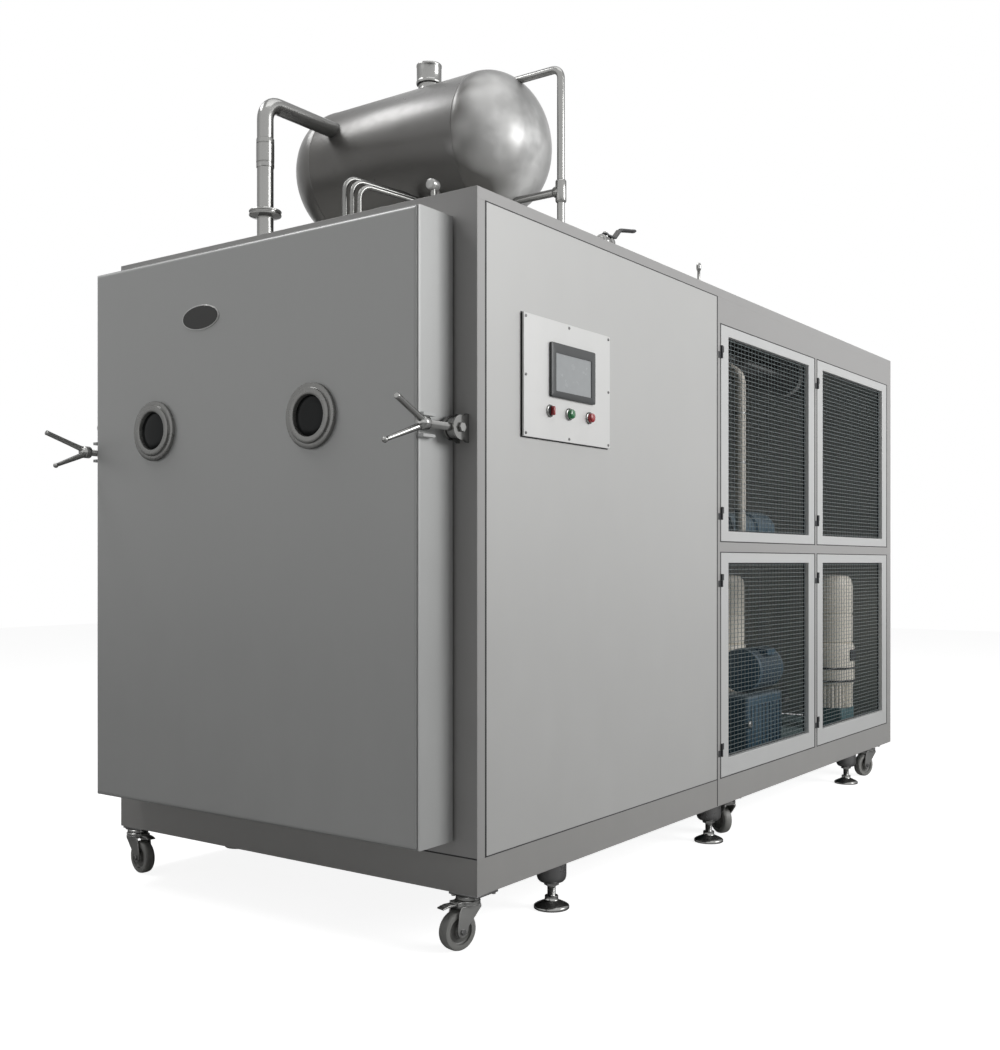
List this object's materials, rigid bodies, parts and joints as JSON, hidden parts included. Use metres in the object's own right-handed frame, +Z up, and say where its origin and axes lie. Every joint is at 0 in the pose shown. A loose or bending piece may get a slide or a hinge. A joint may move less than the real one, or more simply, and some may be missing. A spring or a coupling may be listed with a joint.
{
  "type": "freeze dryer",
  "caption": "Cabinet freeze dryer on casters: box chamber with clamped door and sight glasses, touch panel, mesh-door machine bay, buffer tank and pipework on the roof.",
  "frame": {"origin": "middle of the bounding box in X and Y, at floor level", "axes": "+X to the right as seen from the door, +Y from the door to the rear, +Z up"},
  "size_m": [1.426, 3.5374, 2.615],
  "materials": {
    "cabinet_steel": "satin brushed stainless sheet",
    "vessel_steel": "satin",
    "tank_steel": "satin",
    "pipe_steel": "polished",
    "hardware_steel": "polished",
    "shelf_aluminium": "matt",
    "gasket_rubber": "matt",
    "sight_glass": "clear",
    "screen_plastic": "gloss",
    "dark_plate": "satin",
    "red_plastic": "gloss",
    "green_plastic": "gloss",
    "mesh_steel": "satin",
    "deck_paint": "matt",
    "pump_paint": "satin",
    "lagging": "matt",
    "compressor_paint": "satin",
    "wheel_plastic": "matt",
    "caster_steel": "bright zinc"
  },
  "bodies": {
    "machine": {"base_frame": "cabinet_steel", "cabinet_frame": "cabinet_steel", "front_surround": "cabinet_steel", "side_panel_right": "cabinet_steel", "side_panels_left": "cabinet_steel", "rear_panel": "cabinet_steel", "roof_panels": "cabinet_steel", "machine_decks": "deck_paint", "chamber_vessel": "vessel_steel", "heating_shelves": "shelf_aluminium", "fluid_headers": "vessel_steel", "front_brackets": "hardware_steel", "mesh_door_hinges": "hardware_steel", "control_panel": "cabinet_steel", "touch_screen": "screen_plastic", "button_collars": "hardware_steel", "underframe_mounts": "caster_steel", "levelling_feet": "caster_steel", "buffer_tank": "tank_steel", "tank_saddles": "vessel_steel", "roof_pipework": "pipe_steel", "sample_tubes": "pipe_steel", "cold_trap": "lagging", "vacuum_pump": "pump_paint", "compressors": "compressor_paint", "fluid_tank": "shelf_aluminium", "heat_exchanger": "vessel_steel", "lagged_pipe": "lagging"},
    "door": {"door_shell": "cabinet_steel", "door_liner": "vessel_steel", "door_gasket": "gasket_rubber", "sight_rings": "hardware_steel", "sight_glasses": "sight_glass", "badge_plate": "dark_plate", "swing_bolt_left": "hardware_steel"},
    "swing_bolt_right": {"swing_bolt_right": "hardware_steel"},
    "yoke_nut_left": {"yoke_nut_left": "hardware_steel"},
    "yoke_nut_right": {"yoke_nut_right": "hardware_steel"},
    "selector_knob": {"selector_knob": "red_plastic"},
    "start_button": {"start_button": "green_plastic"},
    "stop_button": {"stop_button": "red_plastic"},
    "valve_lever": {"valve_lever": "hardware_steel"},
    "mesh_door_lower_front": {"mesh_door_lower_front": "mesh_steel"},
    "mesh_door_upper_front": {"mesh_door_upper_front": "mesh_steel"},
    "mesh_door_lower_rear": {"mesh_door_lower_rear": "mesh_steel"},
    "mesh_door_upper_rear": {"mesh_door_upper_rear": "mesh_steel"},
    "caster_fork_front_right": {"caster_fork_front_right": "caster_steel"},
    "caster_wheel_front_right": {"caster_wheel_front_right": "wheel_plastic"},
    "brake_pedal_front_right": {"brake_pedal_front_right": "caster_steel"},
    "caster_fork_front_left": {"caster_fork_front_left": "caster_steel"},
    "caster_wheel_front_left": {"caster_wheel_front_left": "wheel_plastic"},
    "brake_pedal_front_left": {"brake_pedal_front_left": "caster_steel"},
    "caster_fork_middle_right": {"caster_fork_middle_right": "caster_steel"},
    "caster_wheel_middle_right": {"caster_wheel_middle_right": "wheel_plastic"},
    "caster_fork_middle_left": {"caster_fork_middle_left": "caster_steel"},
    "caster_wheel_middle_left": {"caster_wheel_middle_left": "wheel_plastic"},
    "caster_fork_rear_right": {"caster_fork_rear_right": "caster_steel"},
    "caster_wheel_rear_right": {"caster_wheel_rear_right": "wheel_plastic"},
    "caster_fork_rear_left": {"caster_fork_rear_left": "caster_steel"},
    "caster_wheel_rear_left": {"caster_wheel_rear_left": "wheel_plastic"}
  },
  "joints": [
    {"name": "door_hinge", "type": "hinge", "parent": "machine", "child": "door", "pos_m": [-0.658, -1.52625, 0.56], "axis": [0, 0, 1], "range_deg": [-110, 0]},
    {"name": "clamp_swing", "type": "hinge", "parent": "machine", "child": "swing_bolt_right", "pos_m": [0.658, -1.51825, 1.3], "axis": [1, 0, 0], "range_deg": [0, 80]},
    {"name": "nut_turn_right", "type": "hinge", "parent": "swing_bolt_right", "child": "yoke_nut_right", "pos_m": [0.658, -1.63125, 1.3], "axis": [0, 1, 0], "continuous": true},
    {"name": "nut_turn_left", "type": "hinge", "parent": "door", "child": "yoke_nut_left", "pos_m": [-0.658, -1.63125, 1.3], "axis": [0, 1, 0], "continuous": true},
    {"name": "selector_turn", "type": "hinge", "parent": "machine", "child": "selector_knob", "pos_m": [0.709, -1.17225, 1.373], "axis": [1, 0, 0], "range_deg": [0, 90]},
    {"name": "start_push", "type": "slide", "parent": "machine", "child": "start_button", "axis": [-1, 0, 0], "range_m": [0, 0.004], "stiffness_N_per_m": 600, "springref_m": -0.003},
    {"name": "stop_push", "type": "slide", "parent": "machine", "child": "stop_button", "axis": [-1, 0, 0], "range_m": [0, 0.004], "stiffness_N_per_m": 600, "springref_m": -0.003},
    {"name": "valve_turn", "type": "hinge", "parent": "machine", "child": "valve_lever", "pos_m": [0.64, -0.76625, 1.949], "axis": [0, 0, 1], "range_deg": [-90, 0]},
    {"name": "mesh_door_lower_front_hinge", "type": "hinge", "parent": "machine", "child": "mesh_door_lower_front", "pos_m": [0.704, -0.0955, 0.3265], "axis": [0, 0, -1], "range_deg": [0, 110]},
    {"name": "mesh_door_upper_front_hinge", "type": "hinge", "parent": "machine", "child": "mesh_door_upper_front", "pos_m": [0.704, -0.0955, 1.13441], "axis": [0, 0, -1], "range_deg": [0, 110]},
    {"name": "mesh_door_lower_rear_hinge", "type": "hinge", "parent": "machine", "child": "mesh_door_lower_rear", "pos_m": [0.704, 0.7945, 0.3265], "axis": [0, 0, -1], "range_deg": [0, 110]},
    {"name": "mesh_door_upper_rear_hinge", "type": "hinge", "parent": "machine", "child": "mesh_door_upper_rear", "pos_m": [0.704, 0.7945, 1.13441], "axis": [0, 0, -1], "range_deg": [0, 110]},
    {"name": "swivel_front_right", "type": "hinge", "parent": "machine", "child": "caster_fork_front_right", "pos_m": [0.655, -1.46625, 0.1226], "axis": [0, 0, 1], "continuous": true},
    {"name": "wheel_front_right", "type": "hinge", "parent": "caster_fork_front_right", "child": "caster_wheel_front_right", "pos_m": [0.64672, -1.49716, 0.05], "axis": [0.9659, -0.2588, 0], "continuous": true},
    {"name": "brake_front_right", "type": "hinge", "parent": "caster_fork_front_right", "child": "brake_pedal_front_right", "pos_m": [0.6447, -1.50469, 0.1166], "axis": [0.9659, -0.2588, 0], "range_deg": [0, 18]},
    {"name": "swivel_front_left", "type": "hinge", "parent": "machine", "child": "caster_fork_front_left", "pos_m": [-0.645, -1.46625, 0.1226], "axis": [0, 0, 1], "continuous": true},
    {"name": "wheel_front_left", "type": "hinge", "parent": "caster_fork_front_left", "child": "caster_wheel_front_left", "pos_m": [-0.61331, -1.4707, 0.05], "axis": [0.1392, 0.9903, 0], "continuous": true},
    {"name": "brake_front_left", "type": "hinge", "parent": "caster_fork_front_left", "child": "brake_pedal_front_left", "pos_m": [-0.60559, -1.47179, 0.1166], "axis": [0.1392, 0.9903, 0], "range_deg": [0, 18]},
    {"name": "swivel_middle_right", "type": "hinge", "parent": "machine", "child": "caster_fork_middle_right", "pos_m": [0.64, 0.07375, 0.1226], "axis": [0, 0, 1], "continuous": true},
    {"name": "wheel_middle_right", "type": "hinge", "parent": "caster_fork_middle_right", "child": "caster_wheel_middle_right", "pos_m": [0.61229, 0.08975, 0.05], "axis": [-0.5, -0.866, 0], "continuous": true},
    {"name": "swivel_middle_left", "type": "hinge", "parent": "machine", "child": "caster_fork_middle_left", "pos_m": [-0.64, 0.07375, 0.1226], "axis": [0, 0, 1], "continuous": true},
    {"name": "wheel_middle_left", "type": "hinge", "parent": "caster_fork_middle_left", "child": "caster_wheel_middle_left", "pos_m": [-0.63335, 0.04245, 0.05], "axis": [0.9781, 0.2079, 0], "continuous": true},
    {"name": "swivel_rear_right", "type": "hinge", "parent": "machine", "child": "caster_fork_rear_right", "pos_m": [0.645, 1.56375, 0.1226], "axis": [0, 0, 1], "continuous": true},
    {"name": "wheel_rear_right", "type": "hinge", "parent": "caster_fork_rear_right", "child": "caster_wheel_rear_right", "pos_m": [0.63406, 1.53368, 0.05], "axis": [0.9397, -0.342, 0], "continuous": true},
    {"name": "swivel_rear_left", "type": "hinge", "parent": "machine", "child": "caster_fork_rear_left", "pos_m": [-0.645, 1.56375, 0.1226], "axis": [0, 0, 1], "continuous": true},
    {"name": "wheel_rear_left", "type": "hinge", "parent": "caster_fork_rear_left", "child": "caster_wheel_rear_left", "pos_m": [-0.64945, 1.53206, 0.05], "axis": [0.9903, -0.1392, 0], "continuous": true}
  ]
}
